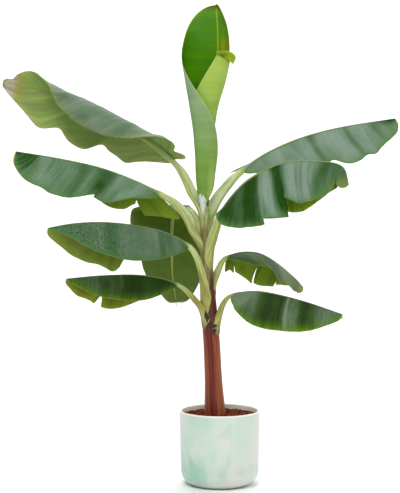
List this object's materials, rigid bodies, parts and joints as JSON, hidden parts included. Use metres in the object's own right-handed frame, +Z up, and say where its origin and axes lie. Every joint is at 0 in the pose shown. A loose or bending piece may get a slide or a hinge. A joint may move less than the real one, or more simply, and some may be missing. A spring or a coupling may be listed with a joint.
{
  "type": "potted banana plant",
  "caption": "Potted banana plant: a leaning stem of leaf sheaths with arching, drooping leaves and a rolled new leaf on top, standing in a round pale glazed pot of soil.",
  "frame": {"origin": "centre of the pot's flat underside, on the surface that it stands on", "axes": "+Z up, +X to the right in the picture, +Y away from its viewer"},
  "size_m": [1.2194, 0.6426, 1.431],
  "materials": {
    "pot_glaze": "satin",
    "potting_soil": "matte",
    "stem": "satin",
    "petiole": "satin",
    "leaf": "satin"
  },
  "bodies": {
    "root": {"pot": "pot_glaze", "soil": "potting_soil", "pseudostem": "stem", "leaf_spear": "leaf", "petiole_top_left": "petiole", "leaf_top_left": "leaf", "petiole_top_right": "petiole", "leaf_top_right": "leaf", "petiole_mid_left": "petiole", "leaf_mid_left": "leaf", "petiole_front_right": "petiole", "leaf_front_right": "leaf", "petiole_back_left": "petiole", "leaf_back_left": "leaf", "petiole_back_right": "petiole", "leaf_back_right": "leaf", "petiole_front_left": "petiole", "leaf_front_left": "leaf", "petiole_low_left": "petiole", "leaf_low_left": "leaf", "petiole_low_right": "petiole", "leaf_low_right": "leaf"}
  },
  "joints": []
}
